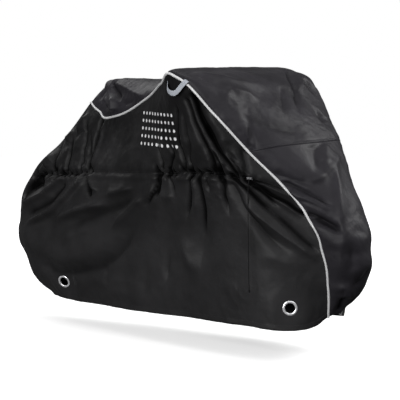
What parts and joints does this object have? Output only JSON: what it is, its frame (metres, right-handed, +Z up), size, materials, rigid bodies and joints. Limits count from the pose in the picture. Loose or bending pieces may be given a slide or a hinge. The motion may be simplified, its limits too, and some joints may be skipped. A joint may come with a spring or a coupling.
{
  "type": "bicycle cover",
  "caption": "Fitted cloth cover for a bicycle, draped over its saddle, handlebar and wheels, with reflective piping, hem eyelets, a webbing loop and a hanging draw cord",
  "frame": {"origin": "where the cover's underside rests on the middle of the handlebar", "axes": "+X towards the bicycle's front, +Y to its far side, +Z up"},
  "size_m": [1.8721, 0.75, 0.9841],
  "materials": {
    "coated_cloth": "coated woven polyester, dull sheen",
    "reflective_piping": "reflective tape, satin",
    "grey_webbing": "woven webbing, dull",
    "eyelet_metal": "bright nickel plate",
    "black_cord": "braided, dull"
  },
  "bodies": {
    "root": {"cord_knot": "black_cord", "cord_tab": "reflective_piping", "draw_cord": "black_cord", "eyelet_front_far": "eyelet_metal", "eyelet_front_near": "eyelet_metal", "eyelet_rear_far": "eyelet_metal", "eyelet_rear_near": "eyelet_metal", "front_panel": "coated_cloth", "hem_strip_far": "coated_cloth", "hem_strip_near": "coated_cloth", "piping_far": "reflective_piping", "piping_near": "reflective_piping", "side_panel_far": "coated_cloth", "side_panel_near": "coated_cloth", "top_panel": "coated_cloth", "webbing_loop": "grey_webbing"}
  },
  "joints": []
}
